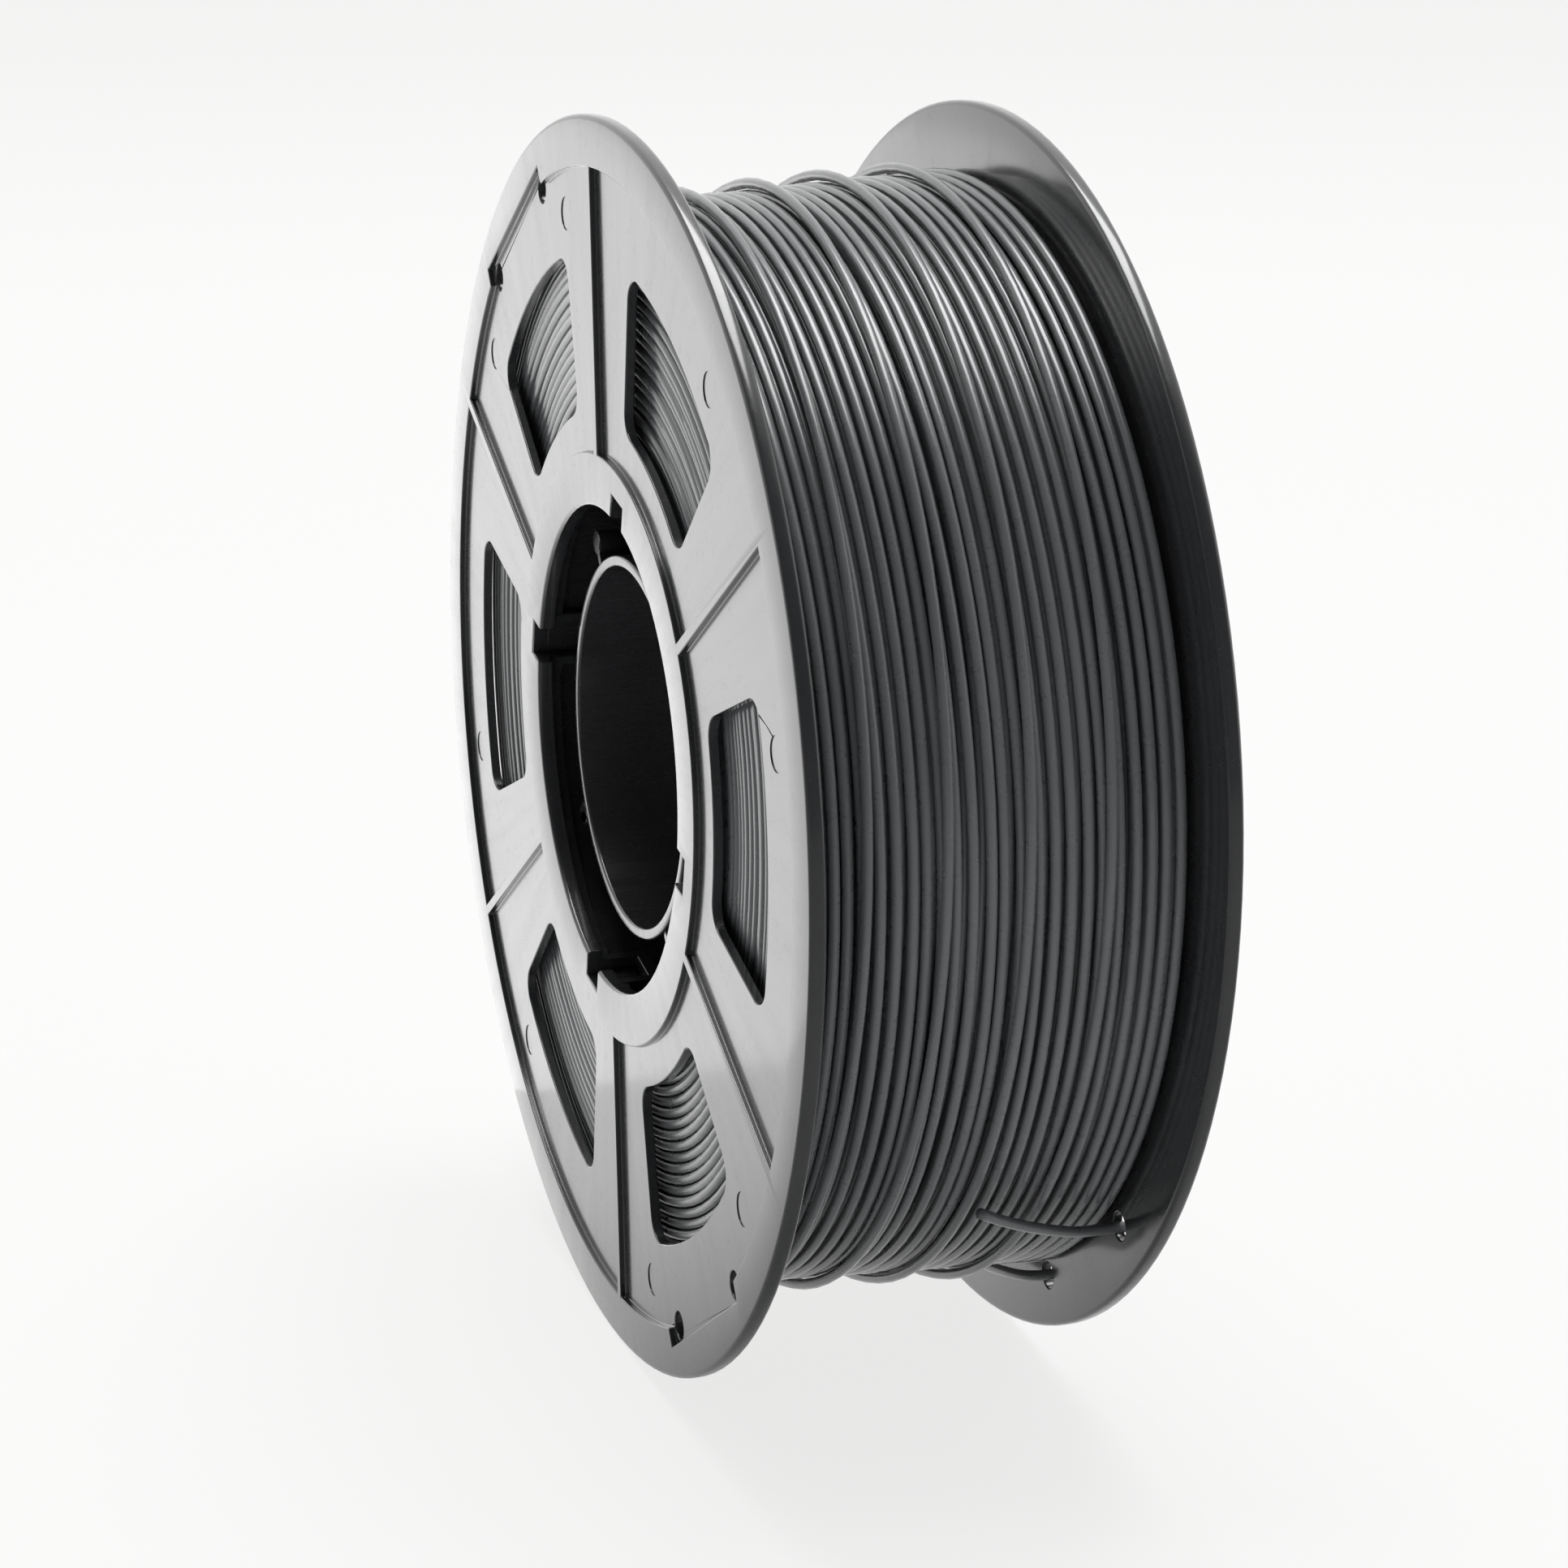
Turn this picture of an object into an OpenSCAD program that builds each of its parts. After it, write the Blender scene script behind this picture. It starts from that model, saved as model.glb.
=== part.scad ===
// A two-flange spool of filament, wound nearly full, with its free end tucked through the
// rear flange. The spool's axis runs along Y and Z is up. The origin is the middle of the
// bore. Angles run from +X towards +Z, as seen from the front (-Y) side.

/* [Spool] */
// Outside diameter of both flanges
spool_d = 200; // [196:1:240]
// Overall width, outer face to outer face
spool_w = 65; // [54:1:90]
// Diameter of the bore that takes a spindle
bore_d = 58; // [48:1:60]
// Angle of the front flange's first rib
clock = 33; // [0:1:59]
// Angle that the rear flange is turned on from the front one
rear_turn = 2; // [-5:0.5:5]

/* [Flange] */
// Thickness of a flange at its rim
rim_t = 2.6; // [2.4:0.1:3.6]
// Depth of the sunk field between the rim band and the hub ring
step_h = 1; // [0.8:0.1:1.4]
// Width of the raised band round the rim
band_w = 8; // [6:0.5:8.5]
// Rounding of the rim's edges
rim_round = 0.8; // [0.2:0.1:1]
// Outside diameter of the raised hub ring
hub_ring_d = 95; // [93:0.5:98]
// Diameter of the opening in the hub ring
hub_hole_d = 78; // [76:0.5:79]
// Width of a rib
rib_w = 1.8; // [1.2:0.1:3]
// Diameter of a witness mark left by an ejector pin
pin_d = 5.4; // [4:0.1:6]

/* [Windows] */
// Radius where a window starts
window_r1 = 54; // [52:0.5:60]
// Radius where a window ends
window_r2 = 79; // [70:0.5:79.5]
// Angle between a window's two straight sides
window_angle = 39; // [30:1:42]
// Rounding of a window's corners
window_round = 4; // [2:0.5:5]

/* [Tail pads] */
// Distance from the axis to a pad's straight outer wall
pad_reach = 93; // [92.5:0.1:94]
// Length of that wall
pad_l = 39; // [37:0.5:40]
// Distance from the axis to the row of two holes
hole_reach = 90.2; // [89:0.1:90.4]
// Distance between the two holes
hole_gap = 33.6; // [32:0.1:34]
// Diameter of a hole
hole_d = 4.5; // [3.5:0.1:4.8]

/* [Core] */
// Outside diameter of the drum that the filament is wound on
drum_d = 90; // [89:0.5:91]
// Wall of the drum
drum_wall = 2; // [1.5:0.1:2.4]
// Wall of the bore tube
tube_wall = 1.9; // [1.5:0.1:2.4]
// How far the bore tube's ends lie inside the outer faces
tube_drop = 4; // [3.5:0.5:8]
// Thickness of the web that joins drum and tube
web_t = 2.4; // [1.5:0.1:4]
// Diameter of the posts between drum and tube
post_d = 4; // [3:0.1:5]
// Thickness of the fins beside the posts
fin_t = 1.2; // [1:0.1:2]

/* [Snaps] */
// Width of a notch in the hub ring, above a snap
notch_w = 6; // [4:0.5:7]
// Width of a snap's frame
snap_w = 9.4; // [9:0.1:11]
// How far a snap reaches into the drum
snap_l = 8; // [7:0.5:10]
// How far a snap's nose reaches into the drum's wall
nose_h = 1.3; // [1:0.1:1.5]

/* [Filament] */
// Diameter of the filament
filament_d = 1.75; // [1.65:0.01:1.85]
// Diameter over the last full layer, beside the front flange
layer_d1 = 171; // [168:0.5:174]
// Diameter over the last full layer, beside the rear flange
layer_d2 = 178; // [174:0.5:178]
// Turns of the last full layer
layer_turns = 18.5; // [14:0.5:18.5]
// Loose turns that run back over it to the free end
loose_turns = 4.8; // [3:0.1:5]

/* [Hidden] */

ROUND = 96;        // sides that a display circle has
FIT = 0.3;         // gap between curved faces that fit in each other
SEAT = 0.1;        // how far a cut runs past the face that it opens
PIN_DEPTH = 0.15;  // depth of an ejector pin's mark
RIBS = 6;
SNAPS = 4;
POSTS = 4;
LIP = 0.6;         // rounding of the hub ring's inner edge
TUBE_ROUND = 0.5;  // rounding of the bore tube's ends
ARC_STEPS = 4;     // straight steps in a rounded edge

rim_r = spool_d / 2;
half_w = spool_w / 2;
inner_half = half_w - rim_t;        // from the middle to a flange's inner face
plate_t = rim_t - step_h;           // thickness of the sunk field
field_r = rim_r - band_w;
hub_ring_r = hub_ring_d / 2;
hub_hole_r = hub_hole_d / 2;
drum_r = drum_d / 2;
drum_ri = drum_r - drum_wall;
bore_r = bore_d / 2;
tube_r = bore_r + tube_wall;
tube_half = half_w - tube_drop;
window_apex = 9;                    // where a window's two sides would meet, out from the axis
pin_r = window_r2 + 6.3;
pin_spread = 18.75;                 // angle from a pad's middle to an ejector pin's mark
pad_angles = [clock + 90, clock + 270];
notch_depth = 4;                    // how far a notch reaches into the hub ring
notch_angle = clock + 45;

skirt_l = 2;                        // length of the ring that centres a flange in the drum
skirt_t = 1.6;
skirt_r = drum_ri - FIT;
snap_t = 2;                         // thickness of a snap, across the radius
snap_bar = 2;                       // height of the bar that carries the nose
nose_w = 4.8;

post_r = (tube_r + drum_ri) / 2 - 1.8;
post_half = tube_half - TUBE_ROUND - 0.3;
low_fin_half = inner_half - 9;      // the fin from post to drum is lower

side_gap = 0.8;                     // from the winding's side to a flange's inner face
winding_half = inner_half - side_gap;
LOOP_RINGS = 24;
TURN_SIDES = 6;
LAYER_GAP = 0.5;                    // between a layer's turns and those over it
CLIMB = 180;                        // angle in which the strand climbs a layer
end_gap = filament_d / 2 + 0.1;     // from the winding's side to the nearest centre line
turn_y = winding_half - end_gap;
turn_r1 = layer_d1 / 2 - filament_d / 2;
turn_r2 = layer_d2 / 2 - filament_d / 2;
layer_step = filament_d + LAYER_GAP;
ring_deg = 360 / LOOP_RINGS;
sag = cos(ring_deg / 2);            // a turn's flats lie this much nearer the axis
pocket_d = filament_d + 0.9;        // round the foot of the first turn

// The free end, from the last loose turn, out through one hole of the rear flange's lower
// pad, back in through the other, to its cut tip. It starts along the turn that it leaves.
tail_route = [
    [6.3, 25.7, -90.0], [10.6, 25.7, -89.7], [14.9, 25.8, -89.1], [19.1, 26.0, -88.4],
    [23.2, 26.2, -87.6], [27.2, 26.4, -86.6], [31.0, 26.7, -85.6], [34.6, 27.4, -84.6],
    [36.8, 28.5, -83.9], [37.9, 30.2, -83.5], [38.8, 32.0, -83.0], [40.6, 33.9, -81.9],
    [43.3, 35.5, -80.2], [46.6, 36.7, -78.0], [50.4, 37.3, -75.4], [54.2, 37.3, -72.9],
    [57.9, 36.6, -70.4], [61.4, 35.2, -67.9], [64.1, 33.1, -65.6], [65.3, 30.4, -64.5],
    [65.9, 27.0, -64.2], [66.9, 22.7, -63.7], [68.1, 18.5, -62.5], [69.6, 14.4, -60.9],
    [71.1, 10.6, -59.2], [72.7, 6.9, -57.3], [74.4, 3.3, -55.2]
];
TAIL_SIDES = 8;
TAIL_ACROSS = [0.57, 0, -0.82];     // a direction that the tail never runs along
tail_run = tail_route[1] - tail_route[0];
tail_y = tail_route[0][1];
tail_deg = atan2(tail_run[2], tail_run[0]) - 90;

// The last full layer runs from the rear flange to the front one. There the strand climbs,
// and the loose turns run back to where the tail leaves them.
loose_start_deg = ring_deg * round((tail_deg - 360 * loose_turns) / ring_deg);
layer_end_deg = loose_start_deg - CLIMB;
layer_start_deg = layer_end_deg - 360 * layer_turns;

// Points of a quarter circle round (x, y), from one angle to another.
function arc(x, y, r, from, to) =
    [for (i = [0 : ARC_STEPS]) let (a = from + (to - from) * i / ARC_STEPS)
        [x + r * cos(a), y + r * sin(a)]];

// Section of a flange, radius against height above its inner face.
function flange_section() = concat(
    [[skirt_r - skirt_t, 0], [skirt_r - skirt_t, -skirt_l], [skirt_r, -skirt_l], [skirt_r, 0]],
    arc(rim_r - rim_round, rim_round, rim_round, -90, 0),
    arc(rim_r - rim_round, rim_t - rim_round, rim_round, 0, 90),
    arc(hub_hole_r + LIP, rim_t - LIP, LIP, 90, 180),
    [[hub_hole_r, 0]]
);

// Section of the bore tube, radius against height.
function tube_section() = concat(
    arc(bore_r + TUBE_ROUND, tube_half - TUBE_ROUND, TUBE_ROUND, 180, 90),
    arc(tube_r - TUBE_ROUND, tube_half - TUBE_ROUND, TUBE_ROUND, 90, 0),
    arc(tube_r - TUBE_ROUND, -tube_half + TUBE_ROUND, TUBE_ROUND, 0, -90),
    arc(bore_r + TUBE_ROUND, -tube_half + TUBE_ROUND, TUBE_ROUND, -90, -180)
);

// How far along a line from (apex, 0), tilted by angle, its distance to the axis is r.
function reach_on_side(apex, angle, r) =
    sqrt(r * r - pow(apex * sin(angle), 2)) - apex * cos(angle);

// The sunk field, in the sectors between the ribs.
module field_cut() {
    translate([0, 0, plate_t])
        difference() {
            rotate_extrude($fn = ROUND)
                translate([hub_ring_r, 0])
                    square([field_r - hub_ring_r, rim_t]);
            for (i = [0 : RIBS - 1])
                rotate(clock + i * 360 / RIBS)
                    translate([hub_ring_r - 1, -rib_w / 2, -SEAT])
                        cube([field_r - hub_ring_r + 2, rib_w, rim_t + 2 * SEAT]);
        }
}

module wedge(apex) {
    half = window_angle / 2;
    polygon([
        [apex, 0],
        [apex + rim_r * cos(half), rim_r * sin(half)],
        [apex + rim_r * cos(half), -rim_r * sin(half)]
    ]);
}

module ring(r1, r2) {
    difference() {
        circle(r = r2, $fn = ROUND);
        circle(r = r1, $fn = ROUND);
    }
}

// Outline of one window, centred on +X, with its corners rounded.
module window_outline() {
    half = window_angle / 2;
    inset_apex = window_apex + window_round / sin(half);
    intersection() {
        ring(window_r1, window_r2);
        wedge(inset_apex);
    }
    intersection() {
        ring(window_r1 + window_round, window_r2 - window_round);
        wedge(window_apex);
    }
    for (r = [window_r1 + window_round, window_r2 - window_round], side = [-1, 1]) {
        along = reach_on_side(inset_apex, half, r);
        translate([inset_apex + along * cos(half), side * along * sin(half)])
            circle(r = window_round, $fn = 32);
    }
}

// The sunk label pad: a straight wall further out than the round field, and two holes.
module pad_cut() {
    translate([window_r2, -pad_l / 2, plate_t])
        cube([pad_reach - window_r2, pad_l, rim_t]);
    for (side = [-1, 1])
        translate([hole_reach, side * hole_gap / 2, -SEAT])
            cylinder(d = hole_d, h = rim_t + 2 * SEAT, $fn = 32);
}

// One snap under a notch: two legs and a bar, with a nose that grips the drum's wall.
module snap() {
    r1 = skirt_r - snap_t;
    difference() {
        translate([r1, -snap_w / 2, -snap_l])
            cube([snap_t - FIT, snap_w, snap_l]);
        translate([r1 - SEAT, -notch_w / 2, snap_bar - snap_l])
            cube([snap_t + 2 * SEAT, notch_w, snap_l]);
    }
    translate([r1 + SEAT, -nose_w / 2, -snap_l])
        cube([snap_t - SEAT + FIT + nose_h, nose_w, snap_bar]);
}

// A flange, standing on its inner face.
module flange() {
    difference() {
        rotate_extrude($fn = ROUND)
            polygon(flange_section());
        field_cut();
        for (i = [0 : RIBS - 1])
            rotate(clock + (i + 0.5) * 360 / RIBS)
                translate([0, 0, -SEAT])
                    linear_extrude(rim_t)
                        window_outline();
        for (a = pad_angles)
            rotate(a)
                pad_cut();
        for (i = [0 : 3], side = [-1, 1])
            rotate(clock + i * 90 + side * pin_spread)
                translate([pin_r, 0, plate_t - PIN_DEPTH])
                    cylinder(d = pin_d, h = step_h, $fn = 32);
        for (i = [0 : SNAPS - 1])
            rotate(notch_angle + i * 360 / SNAPS)
                translate([hub_hole_r - 1, -notch_w / 2, -skirt_l - SEAT])
                    cube([notch_depth + 1, notch_w, rim_t + skirt_l + 2 * SEAT]);
    }
    for (i = [0 : SNAPS - 1])
        rotate(notch_angle + i * 360 / SNAPS)
            snap();
}

// Stands a part that was drawn along Z on the spool's axis, facing the front.
module facing_front() {
    rotate([90, 0, 0])
        children();
}

module front_flange() {
    color("#26272a")
        facing_front()
            translate([0, 0, inner_half])
                flange();
}

module rear_flange() {
    color("#26272a")
        mirror([0, 1, 0])
            facing_front()
                rotate(rear_turn)
                    translate([0, 0, inner_half])
                        flange();
}

// Half of what stands between drum and tube on one side of the web.
module posts_and_fins() {
    for (i = [0 : POSTS - 1])
        rotate(clock + i * 360 / POSTS) {
            translate([post_r, 0, 0])
                cylinder(d = post_d, h = post_half, $fn = 32);
            translate([tube_r - 1, -fin_t / 2, 0])
                cube([post_r - tube_r + 1, fin_t, post_half]);
            translate([post_r, -fin_t / 2, 0])
                cube([drum_ri - post_r + 1, fin_t, low_fin_half]);
        }
}

// Slots in the drum's wall that the flange's noses click into.
module nose_slots() {
    for (i = [0 : SNAPS - 1])
        rotate(notch_angle + i * 360 / SNAPS)
            translate([drum_ri - 1, -nose_w / 2 - FIT, inner_half - snap_l - FIT])
                cube([drum_wall + 2, nose_w + 2 * FIT, snap_bar + 2 * FIT]);
}

module core() {
    color("#222326")
        facing_front()
            difference() {
                union() {
                    rotate_extrude($fn = ROUND)
                        translate([drum_ri, -inner_half])
                            square([drum_wall, 2 * inner_half]);
                    rotate_extrude($fn = ROUND)
                        translate([tube_r - 0.5, -web_t / 2])
                            square([drum_ri - tube_r + 1, web_t]);
                    rotate_extrude($fn = ROUND)
                        polygon(tube_section());
                    posts_and_fins();
                    mirror([0, 0, 1])
                        posts_and_fins();
                }
                nose_slots();
                rotate(rear_turn)
                    mirror([0, 0, 1])
                        nose_slots();
            }
}

// Unit vectors out from the axis and along a turn.
function out_at(a) = [cos(a), 0, sin(a)];
function along_at(a) = [-sin(a), 0, cos(a)];

// Radius of the full layer's centre line, and of the bed beneath it.
function layer_r(y) = turn_r1 + (turn_r2 - turn_r1) * (y + turn_y) / (2 * turn_y);
function bed_r(y) = layer_r(y) * sag - filament_d / 2 - FIT;

// The wound strand's place along the axis and its radius, at angle a.
function wound_y(a) =
    a < layer_end_deg ? turn_y * (1 - 2 * (a - layer_start_deg) / (layer_end_deg - layer_start_deg))
    : a < loose_start_deg ? -turn_y
    : (tail_y + turn_y) * (a - loose_start_deg) / (tail_deg - loose_start_deg) - turn_y;
function wound_r(a) =
    layer_r(wound_y(a)) + layer_step * min(1, max(0, (a - layer_end_deg) / CLIMB));

// The rings of the wound strand, each as its centre and the direction of its first corner.
// It comes up square out of its bed, winds, and ends straight along the tail.
function wound_frames() =
    let (a = layer_start_deg, bed = bed_r(turn_y), bend = layer_r(turn_y) - bed,
         foot = [0, turn_y, 0] + bed * out_at(a), end = tail_route[0],
         last = ceil((tail_deg - a) / ring_deg) - 1)
    concat(
        [[foot - filament_d * out_at(a), -along_at(a)]],
        [for (b = [0 : 22.5 : 90])
            let (n = sin(b) * out_at(a) - cos(b) * along_at(a))
            [foot + bend * (along_at(a) + n), n]],
        [for (i = [1 : last])
            let (b = a + i * ring_deg)
            [wound_r(b) * out_at(b) + [0, wound_y(b), 0], out_at(b)]],
        [for (back = [filament_d, 0])
            [end - back * along_at(tail_deg), out_at(tail_deg)]]
    );

// A tube skinned over rings of points that all have the same number of corners.
module skin(rings) {
    sides = len(rings[0]);
    last = len(rings) - 1;
    walls = [for (i = [0 : last - 1], k = [0 : sides - 1])
        let (a = i * sides + k, b = i * sides + (k + 1) % sides)
        each [[a, b, a + sides], [b, b + sides, a + sides]]];
    caps = [for (k = [1 : sides - 2])
        each [[0, k + 1, k], [last * sides, last * sides + k, last * sides + k + 1]]];
    polyhedron(points = [for (r = rings) each r], faces = concat(walls, caps));
}

// Corners of the rings of a wound tube. The second direction of each ring is the axis.
function turn_rings(frames) =
    [for (f = frames)
        [for (k = [0 : TURN_SIDES - 1])
            let (a = 360 * k / TURN_SIDES)
            f[0] + filament_d / 2 * (cos(a) * f[1] + sin(a) * [0, -1, 0])]];

// Least gap between turns, measured between the centres of all rings a turn or more apart.
function least_gap(frames) =
    min([for (i = [0 : len(frames) - LOOP_RINGS], j = [i + LOOP_RINGS - 2 : len(frames) - 1])
        norm(frames[i][0] - frames[j][0])]) - filament_d;

module outer_turns() {
    frames = wound_frames();
    echo(outer_turns_least_gap_mm = least_gap(frames));
    color("#4b4e52")
        skin(turn_rings(frames));
}

module winding_core() {
    color("#45484c")
        difference() {
            facing_front()
                rotate_extrude($fn = ROUND)
                    polygon([
                        [drum_r + FIT, -winding_half], [bed_r(winding_half), -winding_half],
                        [bed_r(-winding_half), winding_half], [drum_r + FIT, winding_half]
                    ]);
            translate([0, turn_y, 0])
                rotate([0, -layer_start_deg, 0])
                    translate([bed_r(turn_y) - filament_d, 0, 0])
                        rotate([0, 90, 0])
                            cylinder(d = pocket_d, h = 2 * filament_d, $fn = 32);
        }
}

// Rings along the tail, square to the line through each point's neighbours.
function tail_rings() =
    let (last = len(tail_route) - 1)
    [for (i = [0 : last])
        let (run = tail_route[min(i + 1, last)] - tail_route[max(i - 1, 0)],
             side = cross(run, TAIL_ACROSS), n = side / norm(side),
             up = cross(n, run) / norm(run))
        [for (k = [0 : TAIL_SIDES - 1])
            let (a = 360 * k / TAIL_SIDES)
            tail_route[i] + filament_d / 2 * (cos(a) * n + sin(a) * up)]];

module filament_tail() {
    color("#4b4e52")
        skin(tail_rings());
}

front_flange();
rear_flange();
core();
winding_core();
outer_turns();
filament_tail();
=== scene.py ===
import math

import bmesh
import bpy
import numpy as np
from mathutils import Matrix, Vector


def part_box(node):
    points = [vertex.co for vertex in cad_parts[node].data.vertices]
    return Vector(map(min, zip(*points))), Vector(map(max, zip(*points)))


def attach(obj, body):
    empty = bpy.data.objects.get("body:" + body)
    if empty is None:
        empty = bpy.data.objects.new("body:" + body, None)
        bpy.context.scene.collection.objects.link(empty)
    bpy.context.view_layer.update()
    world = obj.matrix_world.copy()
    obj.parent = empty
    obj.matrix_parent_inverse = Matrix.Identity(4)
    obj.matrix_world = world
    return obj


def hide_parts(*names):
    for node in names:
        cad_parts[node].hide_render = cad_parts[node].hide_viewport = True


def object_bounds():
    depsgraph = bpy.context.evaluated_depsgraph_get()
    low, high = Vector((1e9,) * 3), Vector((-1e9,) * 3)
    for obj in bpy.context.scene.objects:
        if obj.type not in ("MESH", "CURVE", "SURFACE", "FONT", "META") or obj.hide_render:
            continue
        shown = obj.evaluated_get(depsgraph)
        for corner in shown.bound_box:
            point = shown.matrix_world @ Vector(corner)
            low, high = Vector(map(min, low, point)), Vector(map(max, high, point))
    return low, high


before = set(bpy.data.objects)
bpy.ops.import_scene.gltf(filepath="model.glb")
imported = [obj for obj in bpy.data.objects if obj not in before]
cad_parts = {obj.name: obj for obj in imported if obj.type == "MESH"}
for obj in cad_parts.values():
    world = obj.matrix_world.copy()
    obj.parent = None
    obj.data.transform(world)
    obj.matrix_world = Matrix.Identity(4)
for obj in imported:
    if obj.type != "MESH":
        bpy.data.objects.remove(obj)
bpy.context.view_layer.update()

MM = 0.001

# ---- Camera: the photograph's viewing angle ----
CAMERA_AZ_DEG = 71.14                # turned from the view straight on to the front flange
CAMERA_EL_DEG = 15.99
CAMERA_DISTANCE = 0.6308
CAMERA_LENS = 89.2                   # lens and sensor in millimetres
CAMERA_SENSOR = 36
CAMERA_TARGET = Vector((0, -2.11, -8.43)) * MM

# ---- Filament ----
STRAND_D = 1.75 * MM
PITCH = 2.35 * MM                    # mean distance between the turns of a layer
SIDE_CLEAR = 0.1 * MM                # from the winding's side to the strand nearest it
DRUM_CLEAR = 0.3 * MM
LAYER_RISE = 1.8 * MM                # rise from layer to layer that sets how many there are
OUTER_RISE = 1.5 * MM                # least rise between the outer layers that are drawn whole
LAYER_R_FRONT = 84.6 * MM            # centre line of the last full layer, at each side
LAYER_R_REAR = 88.1 * MM
FULL_LAYERS = 3                      # outer layers that are drawn whole
END_TURNS = 1.3                      # turns of each lower layer that are drawn at each side
DWELL_TURNS = 0.9                    # turns that lie along a flange before the strand goes back
LOOSE_TURNS = 4.8                    # turns over the last full layer, to the free end
RINGS = 96                           # rings of points in a turn
CLIMB_RINGS = 30                     # rings in which the strand climbs to the next layer
SOFTEN_RINGS = 6                     # reach of the strand's stiffness
STRAND_SIDES = 8
TAIL_SIDES = 12                      # the free end is seen singly, so it is rounder
TAIL_STEPS = 4                       # steps between two points of the free end's route
SEED = 7
BED_INSET = 1.5 * MM                 # how far the bed under the strands lies inside their side

# ---- How unevenly the strand is laid ----
PITCH_NOISE = 0.22                   # share by which the pitch varies
PITCH_TURNS = 0.9                    # turns between two random values of the pitch
SWAY = 0.35 * MM                     # sideways swing of a layer, twice in each turn
JITTER = 0.08 * MM
JITTER_TURNS = 0.22
RECESS = 0.8 * MM                    # how far an end turn may lie inside the winding's side
RECESS_TURNS = 0.5

# ---- Mouldings ----
MERGE = 0.05 * MM                    # points nearer than this are one
IN_LINE = 0.9                        # cosine above which two edges count as one line
FLAT_DEG = 0.4                       # faces that meet at less are one flat face
SHARP_DEG = 30                       # edges that turn more than this are rounded
FLANGE_ROUNDING = 0.25 * MM
CORE_ROUNDING = 0.2 * MM
ROOM = 2.2                           # least length of an edge beside a rounding, in roundings

# ---- Studio ----
FLOOR_REACH = 6.0
FLOOR_LIT = 0.85                     # the floor's colour where it lights the object
FLOOR_SEEN = 0.15                    # and where it is seen, which takes the shadow
FLOOR_GLOW = 0.85                    # strength of its own where the camera sees it
FLOOR_BRIGHT = 1.0                   # strength of its own in a gloss, on the far side
FLOOR_DIM = 0.12                     # and on the camera's side
FLOOR_BRIGHT_TO = -0.06              # distance towards the camera at which it starts to dim
FLOOR_DIM_FROM = 0.10                # and at which it is wholly dim
BACKGROUND = (0.94, 0.94, 0.935, 1)
WORLD_LIGHT = 0.75                   # the room's strength where it lights, not where it is seen
DARK_EL_DEG = 8                      # the dark side's middle is this far above level
DARK_FROM = -0.1                     # cosine from that middle at which the dark begins
DARK_FULL = 0.55                     # and at which it is full
DARK_LEVEL = 0.07
LOW_LAMP_Z = -0.095                  # just above the floor

# The free end's route, from the last turn through the rear flange and back, to its cut tip.
TAIL_ROUTE = [Vector(p) * MM for p in (
    (6.3, 25.7, -90.0), (10.6, 25.7, -89.7), (14.9, 25.8, -89.1), (19.1, 26.0, -88.4),
    (23.2, 26.2, -87.6), (27.2, 26.4, -86.6), (31.0, 26.7, -85.6), (34.6, 27.4, -84.6),
    (36.8, 28.5, -83.9), (37.9, 30.2, -83.5), (38.8, 32.0, -83.0), (40.6, 33.9, -81.9),
    (43.3, 35.5, -80.2), (46.6, 36.7, -78.0), (50.4, 37.3, -75.4), (54.2, 37.3, -72.9),
    (57.9, 36.6, -70.4), (61.4, 35.2, -67.9), (64.1, 33.1, -65.6), (65.3, 30.4, -64.5),
    (65.9, 27.0, -64.2), (66.9, 22.7, -63.7), (68.1, 18.5, -62.5), (69.6, 14.4, -60.9),
    (71.1, 10.6, -59.2), (72.7, 6.9, -57.3), (74.4, 3.3, -55.2),
)]


# ---------------------------------------------------------------- node helpers

def new_material(name):
    material = bpy.data.materials.new(name)
    material.use_nodes = True
    tree = material.node_tree
    tree.nodes.clear()
    output = tree.nodes.new("ShaderNodeOutputMaterial")
    shader = tree.nodes.new("ShaderNodeBsdfPrincipled")
    tree.links.new(shader.outputs["BSDF"], output.inputs["Surface"])
    return material, tree, shader


def feed(tree, socket, value):
    """Links another node's output to a socket, or sets the socket's value."""
    if isinstance(value, bpy.types.NodeSocket):
        tree.links.new(value, socket)
    else:
        socket.default_value = value


def node(tree, kind, inputs=None, **settings):
    """A new node with its settings, and its inputs linked or set."""
    made = tree.nodes.new(kind)
    for key, value in settings.items():
        setattr(made, key, value)
    for key, value in (inputs or {}).items():
        feed(tree, made.inputs[key], value)
    return made


def object_position(tree):
    return node(tree, "ShaderNodeTexCoord").outputs["Object"]


def noise(tree, vector, scale, detail=3.0, roughness=0.55):
    inputs = {"Vector": vector, "Scale": scale, "Detail": detail, "Roughness": roughness}
    return node(tree, "ShaderNodeTexNoise", inputs).outputs["Fac"]


def map_range(tree, value, low, high, to_low, to_high, **settings):
    inputs = {"Value": value, "From Min": low, "From Max": high, "To Min": to_low, "To Max": to_high}
    return node(tree, "ShaderNodeMapRange", inputs, **settings).outputs["Result"]


def math_node(tree, operation, a, b):
    made = node(tree, "ShaderNodeMath", operation=operation)
    for socket, value in zip(made.inputs, (a, b)):
        feed(tree, socket, value)
    return made.outputs["Value"]


def mix_color(tree, factor, a, b):
    """A mix of two colours. The mix node's colour sockets go by number, as names repeat in it."""
    made = node(tree, "ShaderNodeMix", {"Factor": factor, 6: a, 7: b}, data_type="RGBA")
    return made.outputs[2]


def bump(tree, height, strength, distance, normal=None):
    inputs = {"Height": height, "Strength": strength, "Distance": distance}
    if normal is not None:
        inputs["Normal"] = normal
    return node(tree, "ShaderNodeBump", inputs).outputs["Normal"]


def set_inputs(tree, shader, values):
    for key, value in values.items():
        feed(tree, shader.inputs[key], value)


# ---------------------------------------------------------------- materials

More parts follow.
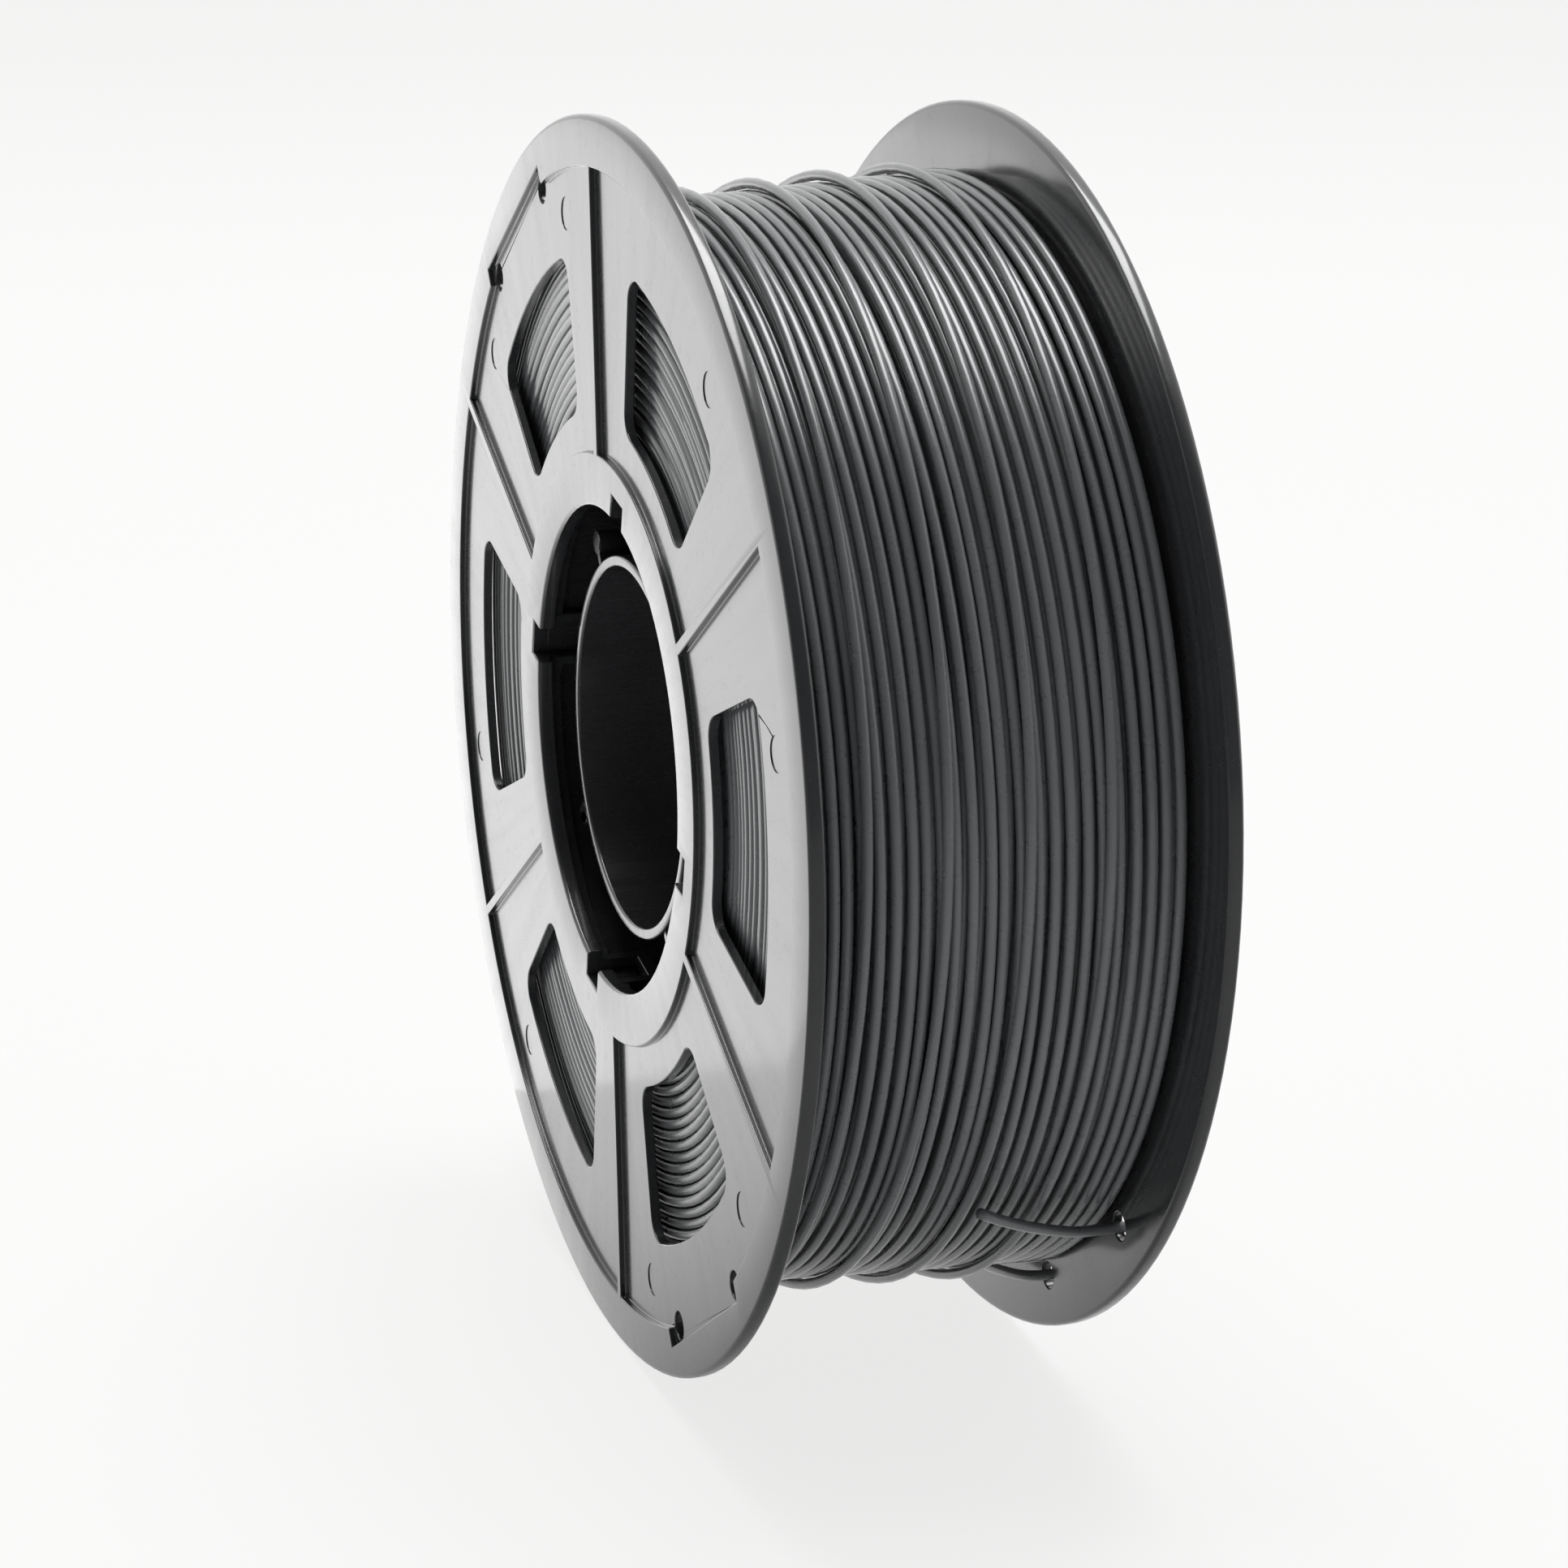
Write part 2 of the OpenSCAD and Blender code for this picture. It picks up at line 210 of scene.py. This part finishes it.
def radial_position(tree):
    """Distance from the axis and angle round it, as a vector that streaks can follow."""
    parts = node(tree, "ShaderNodeSeparateXYZ", {"Vector": object_position(tree)})
    x, z = parts.outputs["X"], parts.outputs["Z"]
    radius = node(tree, "ShaderNodeVectorMath",
                  {0: node(tree, "ShaderNodeCombineXYZ", {"X": x, "Z": z}).outputs["Vector"]},
                  operation="LENGTH").outputs["Value"]
    angle = math_node(tree, "ARCTAN2", z, x)
    inputs = {"X": radius, "Y": angle, "Z": parts.outputs["Y"]}
    return node(tree, "ShaderNodeCombineXYZ", inputs).outputs["Vector"]


def moulded_plastic(name, dark, light, gloss):
    """Glossy injection-moulded plastic: flow streaks, orange peel, scuffs and a few dust specks."""
    material, tree, shader = new_material(name)
    here = object_position(tree)
    round_axis = radial_position(tree)
    stretched = node(tree, "ShaderNodeMapping", {"Vector": round_axis, "Scale": (14, 9, 14)})
    streaks = noise(tree, stretched.outputs["Vector"], scale=2.0, detail=5.0)
    clouds = noise(tree, here, scale=35.0, detail=4.0)
    scuffs = noise(tree, here, scale=420.0, detail=6.0, roughness=0.7)
    peel = noise(tree, here, scale=1500.0, detail=2.0)
    specks = node(tree, "ShaderNodeTexVoronoi", {"Vector": here, "Scale": 320.0})
    speck_size = node(tree, "ShaderNodeTexWhiteNoise", {"Vector": specks.outputs["Position"]})
    reach = map_range(tree, speck_size.outputs["Value"], 0.94, 1.0, 0.0, 0.09)
    dust = math_node(tree, "LESS_THAN", specks.outputs["Distance"], reach)

    body = mix_color(tree, map_range(tree, clouds, 0.3, 0.7, 0.0, 1.0), dark, light)
    color = mix_color(tree, math_node(tree, "MULTIPLY", dust, 0.7), body, (0.32, 0.32, 0.31, 1))
    streaked = map_range(tree, streaks, 0.3, 0.75, gloss, gloss + 0.1)
    scuffed = map_range(tree, scuffs, 0.55, 0.8, 0.0, 0.12)
    roughness = math_node(tree, "ADD", streaked, scuffed)
    normal = bump(tree, peel, strength=0.03, distance=0.02 * MM)
    normal = bump(tree, streaks, strength=0.02, distance=0.25 * MM, normal=normal)
    set_inputs(tree, shader, {
        "Base Color": color, "Roughness": roughness, "Normal": normal, "IOR": 1.5,
        "Coat Weight": 1.0, "Coat Roughness": 0.13, "Coat IOR": 1.5,
    })
    return material


def satin_filament(name, dark, light):
    """Drawn filament with a satin skin: fine grain, faint bands of tone and rubbed spots."""
    material, tree, shader = new_material(name)
    here = object_position(tree)
    grain = noise(tree, here, scale=2600.0, roughness=0.6)
    mottle = noise(tree, here, scale=240.0, detail=4.0)
    tone = noise(tree, here, scale=22.0)
    rubbed = noise(tree, here, scale=700.0, detail=5.0, roughness=0.65)
    body = mix_color(tree, map_range(tree, tone, 0.3, 0.7, 0.0, 1.0), dark, light)
    speckled = math_node(tree, "MULTIPLY", map_range(tree, grain, 0.5, 0.75, 0.0, 1.0), 0.35)
    color = mix_color(tree, speckled, body, (0.16, 0.165, 0.17, 1))
    satin = map_range(tree, mottle, 0.3, 0.7, 0.25, 0.35)
    roughness = math_node(tree, "SUBTRACT", satin, map_range(tree, rubbed, 0.6, 0.8, 0.0, 0.1))
    normal = bump(tree, grain, strength=0.25, distance=0.03 * MM)
    set_inputs(tree, shader, {
        "Base Color": color, "Roughness": roughness, "Normal": normal, "IOR": 1.55,
        "Coat Weight": 1.0, "Coat Roughness": 0.21,
    })
    return material


FLANGE_PLASTIC = moulded_plastic(
    "flange_plastic", dark=(0.022, 0.023, 0.025, 1), light=(0.031, 0.032, 0.034, 1), gloss=0.2)
CORE_PLASTIC = moulded_plastic(
    "core_plastic", dark=(0.020, 0.020, 0.022, 1), light=(0.027, 0.027, 0.029, 1), gloss=0.22)
FILAMENT = satin_filament(
    "filament", dark=(0.098, 0.104, 0.108, 1), light=(0.128, 0.135, 0.140, 1))


# ---------------------------------------------------------------- mesh helpers

def add_object(name, mesh, material):
    mesh.materials.append(material)
    made = bpy.data.objects.new(name, mesh)
    bpy.context.scene.collection.objects.link(made)
    return made


def frames_along(points):
    """For each point of a path, two unit vectors square to the path. The first points outward."""
    run = np.gradient(points, axis=0)
    run /= np.linalg.norm(run, axis=1)[:, None]
    out = points * (1, 0, 1)
    out -= (out * run).sum(axis=1)[:, None] * run
    out /= np.linalg.norm(out, axis=1)[:, None]
    return out, np.cross(run, out)


def tube(points, radius, sides):
    """Vertices, faces and caps of a strand along points, cut square at both ends."""
    out, side = frames_along(points)
    angle = np.linspace(0, 2 * math.pi, sides, endpoint=False)
    spokes = out[:, None] * np.cos(angle)[:, None] + side[:, None] * np.sin(angle)[:, None]
    verts = (points[:, None] + radius * spokes).reshape(-1, 3)
    count = len(points)
    base = np.arange(count - 1)[:, None] * sides + np.arange(sides)
    beside = np.arange(count - 1)[:, None] * sides + (np.arange(sides) + 1) % sides
    faces = np.stack([base, base + sides, beside + sides, beside], axis=-1).reshape(-1, 4)
    caps = [list(range(sides)), list(range(count * sides - 1, (count - 1) * sides - 1, -1))]
    return verts, faces, caps


def mesh_from_parts(name, parts):
    """One smooth mesh from several (vertices, faces, caps)."""
    verts, faces, shift = [], [], 0
    for part_verts, part_faces, caps in parts:
        verts.extend(part_verts.tolist())
        faces.extend((part_faces + shift).tolist())
        faces.extend([[i + shift for i in cap] for cap in caps])
        shift += len(part_verts)
    mesh = bpy.data.meshes.new(name)
    mesh.from_pydata(verts, [], faces)
    mesh.polygons.foreach_set("use_smooth", [True] * len(mesh.polygons))
    mesh.update()
    return mesh


# ---------------------------------------------------------------- the winding

def eased(t):
    """0 to 1 with a soft start and a soft end."""
    t = np.clip(t, 0, 1)
    return t * t * (3 - 2 * t)


def smooth_noise(rng, count, spacing):
    """Smooth random values of about -1 to 1, with a knot every spacing points."""
    knots = rng.uniform(-1, 1, int(count / spacing) + 4)
    place = np.arange(count) / spacing
    low = place.astype(int)
    t = eased(place - low)
    return knots[low] * (1 - t) + knots[low + 1] * t


def soften(values, reach):
    """Bridges dips in a strand's height, as a stiff strand does, and then rounds the steps."""
    padded = np.pad(values, reach, mode="edge")
    windows = np.lib.stride_tricks.sliding_window_view(padded, 2 * reach + 1)
    high = windows.max(axis=1)
    padded = np.pad(high, reach, mode="edge")
    windows = np.lib.stride_tricks.sliding_window_view(padded, 2 * reach + 1)
    weights = np.hanning(2 * reach + 3)[1:-1]
    return windows @ (weights / weights.sum())


def resting_radius(y, columns, floor, lower):
    """Radius at which a strand at y lies on the lower strands that pass the same angle."""
    radius = floor.copy()
    for lower_y, lower_radius in lower:
        gap = np.abs(y[:, None] - lower_y[columns])
        lift = np.sqrt(np.maximum(STRAND_D**2 - gap**2, 0))
        touch = np.where(gap < STRAND_D, lower_radius[columns] + lift, 0)
        radius = np.maximum(radius, touch.max(axis=1))
    return radius


def by_column(values, columns):
    """Values of a whole number of turns, sorted so that row c holds those at angle c."""
    return values[np.argsort(columns, kind="stable")].reshape(RINGS, -1)


def layer_places(rng, half, count, direction):
    """y of each point of a layer, which dwells at one side, crosses, and dwells again."""
    dwell = int(DWELL_TURNS * RINGS)
    steps = 1 + PITCH_NOISE * smooth_noise(rng, count - 2 * dwell, PITCH_TURNS * RINGS)
    crossed = np.concatenate([np.zeros(dwell), np.cumsum(steps) / steps.sum(), np.ones(dwell)])
    y = (2 * crossed - 1) * half * direction
    sway = np.sin(turned(np.arange(count)) * 2 + rng.uniform(0, 2 * math.pi))
    y += SWAY * sway * (1 - (y / half) ** 2)
    y += JITTER * smooth_noise(rng, count, JITTER_TURNS * RINGS)
    recess = RECESS * (1 + smooth_noise(rng, count, RECESS_TURNS * RINGS)) / 2
    return np.clip(y, recess - half, half - recess)


def loose_places(rng, half, count, end):
    """y of each point of the loose turns, from the front side to the free end."""
    dwell = CLIMB_RINGS
    steps = 1 + PITCH_NOISE * smooth_noise(rng, count - dwell, PITCH_TURNS * RINGS)
    crossed = np.concatenate([np.zeros(dwell), np.cumsum(steps) / steps.sum()])
    return -half + (end + half) * crossed


def turned(index):
    """Angle of a point of the path, from the point where the free end begins."""
    return index * 2 * math.pi / RINGS


def wind():
    """The wound strand as runs of points: end turns of the lower layers, then the whole rest."""
    rng = np.random.default_rng(SEED)
    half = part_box("winding_core")[1].y - STRAND_D / 2 - SIDE_CLEAR
    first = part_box("core")[1].z + DRUM_CLEAR + STRAND_D / 2
    layers = round(((LAYER_R_FRONT + LAYER_R_REAR) / 2 - first) / LAYER_RISE) + 1
    count = round(2 * half / PITCH + 2 * DWELL_TURNS) * RINGS
    loose_count = int(LOOSE_TURNS * RINGS)
    tail = np.array(TAIL_ROUTE)
    tail_run = tail[1] - tail[0]
    tail_angle = math.atan2(tail_run[2], tail_run[0]) - math.pi / 2

    def floor(y, layer):
        outer = LAYER_R_FRONT + (LAYER_R_REAR - LAYER_R_FRONT) * (y + half) / (2 * half)
        outer = outer - (FULL_LAYERS - 1) * OUTER_RISE
        whole = layer - (layers - FULL_LAYERS)
        if whole > 0:
            return outer + whole * OUTER_RISE
        return first + (outer - first) * layer / (layers - FULL_LAYERS)

    def points_at(index, y, radius):
        angle = tail_angle + turned(index)
        return np.stack([radius * np.cos(angle), y, radius * np.sin(angle)], axis=1)

    runs, lower, reached = [[]], [], first
    for layer in range(layers):
        to_last = layers - 1 - layer
        index = np.arange(count) - loose_count - (to_last + 1) * count
        columns = index % RINGS
        y = layer_places(rng, half, count, 1 if to_last % 2 else -1)
        radius = floor(y, layer)
        if to_last < FULL_LAYERS - 1:
            radius = soften(resting_radius(y, columns, radius, lower), SOFTEN_RINGS)
        radius = reached + (radius - reached) * eased(np.arange(count) / CLIMB_RINGS)
        reached = radius[-1]
        lower = [(by_column(y, columns), by_column(radius, columns))]
        points = points_at(index, y, radius)
        if to_last < FULL_LAYERS:
            runs[-1].append(points)
        else:
            kept = int(END_TURNS * RINGS)
            runs[-1].append(points[:kept])
            runs.append([points[-kept:]])

    index = np.arange(loose_count + 1) - loose_count
    y = loose_places(rng, half, loose_count + 1, tail[0][1])
    radius = soften(resting_radius(y, index % RINGS, floor(y, layers - 1), lower), SOFTEN_RINGS)
    radius = reached + (radius - reached) * eased((index + loose_count) / CLIMB_RINGS)
    tail_radius = math.hypot(tail[0][0], tail[0][2])
    radius += (tail_radius - radius) * eased(1 + index / CLIMB_RINGS)
    runs[-1].append(points_at(index, y, radius))
    bed_half = half - BED_INSET
    bed = [(y, floor(y, layers - FULL_LAYERS) - STRAND_D / 2) for y in (-bed_half, bed_half)]
    return [np.concatenate(run) for run in runs], bed


def ring_solid(outline, steps):
    """A solid of revolution round the spool's axis, from (y, radius) corners."""
    corners = np.array(outline)
    angle = np.linspace(0, 2 * math.pi, steps, endpoint=False)[:, None]
    x = corners[:, 1] * np.cos(angle)
    y = np.broadcast_to(corners[:, 0], x.shape)
    z = corners[:, 1] * np.sin(angle)
    verts = np.stack([x, y, z], axis=-1).reshape(-1, 3)
    sides = len(corners)
    at = np.arange(steps)[:, None] * sides
    after = (np.arange(steps)[:, None] + 1) % steps * sides
    k = np.arange(sides)
    faces = np.stack([at + k, after + k, after + (k + 1) % sides, at + (k + 1) % sides], axis=-1)
    return verts, faces.reshape(-1, 4), []


def make_winding():
    runs, bed = wind()
    strands = [tube(run, STRAND_D / 2, STRAND_SIDES) for run in runs]
    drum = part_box("core")[1].z + DRUM_CLEAR
    body = ring_solid([(bed[0][0], drum), *bed, (bed[1][0], drum)], RINGS)
    mesh = mesh_from_parts("wound_filament", [*strands, body])
    piece = add_object("wound_filament", mesh, FILAMENT)
    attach(piece, "root")
    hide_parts("winding_core", "outer_turns")


def smooth_route(route, steps):
    """Points of a smooth curve through the route's points."""
    points = np.array(route)
    padded = np.concatenate([[2 * points[0] - points[1]], points, [2 * points[-1] - points[-2]]])
    made = []
    for a, b, c, d in zip(padded, padded[1:], padded[2:], padded[3:]):
        for t in np.arange(steps) / steps:
            made.append(0.5 * (2 * b + (c - a) * t + (2 * a - 5 * b + 4 * c - d) * t**2
                               + (3 * b - a - 3 * c + d) * t**3))
    return np.array([*made, points[-1]])


def make_tail():
    path = smooth_route(TAIL_ROUTE, TAIL_STEPS)
    mesh = mesh_from_parts("filament_end", [tube(path, STRAND_D / 2, TAIL_SIDES)])
    piece = add_object("filament_end", mesh, FILAMENT)
    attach(piece, "root")
    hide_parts("filament_tail")


# ---------------------------------------------------------------- the mouldings

def has_room(edge, rounding):
    """Whether every edge that meets this one at an angle is long enough for the rounding."""
    for corner in edge.verts:
        along = (edge.other_vert(corner).co - corner.co).normalized()
        for other in corner.link_edges:
            if other is edge:
                continue
            across = other.other_vert(corner).co - corner.co
            if abs(across.normalized().dot(along)) < IN_LINE and across.length < ROOM * rounding:
                return False
    return True


def make_moulding(name, material, rounding):
    """A CAD node's own shape with its sharp edges rounded, as a mould leaves it."""
    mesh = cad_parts[name].data.copy()
    mesh.materials.clear()
    mesh.attributes.remove(mesh.attributes["custom_normal"])
    shape = bmesh.new()
    shape.from_mesh(mesh)
    bmesh.ops.remove_doubles(shape, verts=shape.verts, dist=MERGE)
    bmesh.ops.dissolve_limit(
        shape, angle_limit=math.radians(FLAT_DEG), verts=shape.verts, edges=shape.edges)
    weight = shape.edges.layers.float.new("bevel_weight_edge")
    for face in shape.faces:
        face.smooth = True
    for edge in shape.edges:
        sharp = edge.calc_face_angle(0) > math.radians(SHARP_DEG)
        rounded = sharp and has_room(edge, rounding)
        edge[weight] = 1.0 if rounded else 0.0
        edge.smooth = rounded or not sharp
    # The rounding spoils the shading of a face with hundreds of corners, so those are split.
    bmesh.ops.connect_verts_concave(shape, faces=shape.faces)
    shape.to_mesh(mesh)
    shape.free()
    piece = add_object("moulded_" + name, mesh, material)
    bevel = piece.modifiers.new("rounding", "BEVEL")
    bevel.width = rounding
    bevel.segments = 2
    bevel.limit_method = "WEIGHT"
    bevel.use_clamp_overlap = False
    bevel.harden_normals = True
    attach(piece, "root")
    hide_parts(name)


# ---------------------------------------------------------------- camera, floor and light

def direction(az_deg, el_deg):
    """Unit vector towards a viewer at that angle."""
    az, el = math.radians(az_deg), math.radians(el_deg)
    return Vector((math.sin(az) * math.cos(el), -math.cos(az) * math.cos(el), math.sin(el)))


def make_camera():
    camera = bpy.data.cameras.new("photo_camera")
    camera.lens = CAMERA_LENS
    camera.sensor_width = CAMERA_SENSOR
    camera.clip_start = 0.01
    made = bpy.data.objects.new("photo_camera", camera)
    bpy.context.scene.collection.objects.link(made)
    back = direction(CAMERA_AZ_DEG, CAMERA_EL_DEG)
    made.location = CAMERA_TARGET + back * CAMERA_DISTANCE
    made.rotation_euler = back.to_track_quat("Z", "Y").to_euler()
    bpy.context.scene.camera = made


def background_factor(tree):
    """1 for a ray that sees the background itself or in a gloss, and 0 for one that lights."""
    path = node(tree, "ShaderNodeLightPath")
    seen = math_node(tree, "MAXIMUM", path.outputs["Is Camera Ray"], path.outputs["Is Glossy Ray"])
    return math_node(tree, "MAXIMUM", seen, path.outputs["Is Transmission Ray"])


def make_floor():
    """A pale floor that keeps the spool's shadow."""
    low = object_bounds()[0]
    mesh = bpy.data.meshes.new("floor")
    reach = FLOOR_REACH
    corners = [(-reach, -reach), (reach, -reach), (reach, reach), (-reach, reach)]
    mesh.from_pydata([(x, y, low.z) for x, y in corners], [], [(0, 1, 2, 3)])
    material = bpy.data.materials.new("floor")
    material.use_nodes = True
    tree = material.node_tree
    tree.nodes.clear()
    paper = node(tree, "ShaderNodeBsdfDiffuse", {"Color": (FLOOR_LIT,) * 3 + (1,)})
    seen_paper = node(tree, "ShaderNodeBsdfDiffuse", {"Color": (FLOOR_SEEN,) * 3 + (1,)})
    towards = node(tree, "ShaderNodeVectorMath",
                   {0: object_position(tree), 1: direction(CAMERA_AZ_DEG, 0)}, operation="DOT_PRODUCT")
    near = map_range(tree, towards.outputs["Value"], FLOOR_BRIGHT_TO, FLOOR_DIM_FROM,
                     FLOOR_BRIGHT, FLOOR_DIM, interpolation_type="SMOOTHSTEP")
    path = node(tree, "ShaderNodeLightPath")
    strength = map_range(tree, path.outputs["Is Camera Ray"], 0.0, 1.0, near, FLOOR_GLOW)
    glow = node(tree, "ShaderNodeEmission", {"Color": BACKGROUND, "Strength": strength})
    seen = node(tree, "ShaderNodeAddShader", {0: seen_paper.outputs[0], 1: glow.outputs[0]})
    mixed = node(tree, "ShaderNodeMixShader",
                 {"Fac": background_factor(tree), 1: paper.outputs[0], 2: seen.outputs[0]})
    node(tree, "ShaderNodeOutputMaterial", {"Surface": mixed.outputs[0]})
    add_object("floor", mesh, material)


def make_world():
    """A pale room that is dark on the side that the camera stands on, as a studio is."""
    world = bpy.data.worlds.new("studio")
    bpy.context.scene.world = world
    world.use_nodes = True
    tree = world.node_tree
    tree.nodes.clear()
    way = node(tree, "ShaderNodeTexCoord").outputs["Generated"]
    dark_side = direction(CAMERA_AZ_DEG, DARK_EL_DEG)
    towards = node(tree, "ShaderNodeVectorMath", {0: way, 1: dark_side}, operation="DOT_PRODUCT")
    room = map_range(tree, towards.outputs["Value"], DARK_FROM, DARK_FULL,
                     1.0, DARK_LEVEL, interpolation_type="SMOOTHSTEP")
    path = node(tree, "ShaderNodeLightPath")
    gloss = math_node(tree, "MAXIMUM", path.outputs["Is Glossy Ray"], path.outputs["Is Transmission Ray"])
    level = map_range(tree, gloss, 0.0, 1.0, WORLD_LIGHT, 1.0)
    around = math_node(tree, "MULTIPLY", room, level)
    strength = map_range(tree, path.outputs["Is Camera Ray"], 0.0, 1.0, around, 1.0)
    seen = node(tree, "ShaderNodeBackground", {"Color": BACKGROUND, "Strength": strength})
    node(tree, "ShaderNodeOutputWorld", {"Surface": seen.outputs[0]})


def add_softbox(name, place, towards, size, radiance, glossy=True):
    """A rectangular area light that the camera doesn't see. Its power follows from its radiance."""
    light = bpy.data.lights.new(name, "AREA")
    light.shape = "RECTANGLE"
    light.size, light.size_y = size
    light.energy = radiance * math.pi * size[0] * size[1]
    made = bpy.data.objects.new(name, light)
    bpy.context.scene.collection.objects.link(made)
    made.location = place
    made.rotation_euler = (Vector(place) - Vector(towards)).to_track_quat("Z", "Y").to_euler()
    made.visible_camera = False
    made.visible_glossy = glossy


bpy.context.scene.view_settings.view_transform = "Standard"
make_camera()
make_tail()
make_winding()
make_moulding("front_flange", FLANGE_PLASTIC, FLANGE_ROUNDING)
make_moulding("rear_flange", FLANGE_PLASTIC, FLANGE_ROUNDING)
make_moulding("core", CORE_PLASTIC, CORE_ROUNDING)
make_floor()
make_world()
add_softbox("overhead", (-0.4, 0.2, 2.4), (0, 0, 0), size=(1.7, 1.5), radiance=6.6)
add_softbox("low_left", (-1.7, -0.55, LOW_LAMP_Z), (-1.7, -0.55, 1), size=(3.2, 1.8), radiance=0.45)
add_softbox("low_right", (0.8, -0.15, LOW_LAMP_Z), (0.8, -0.15, 1), size=(1.3, 1.5), radiance=0.75,
            glossy=False)
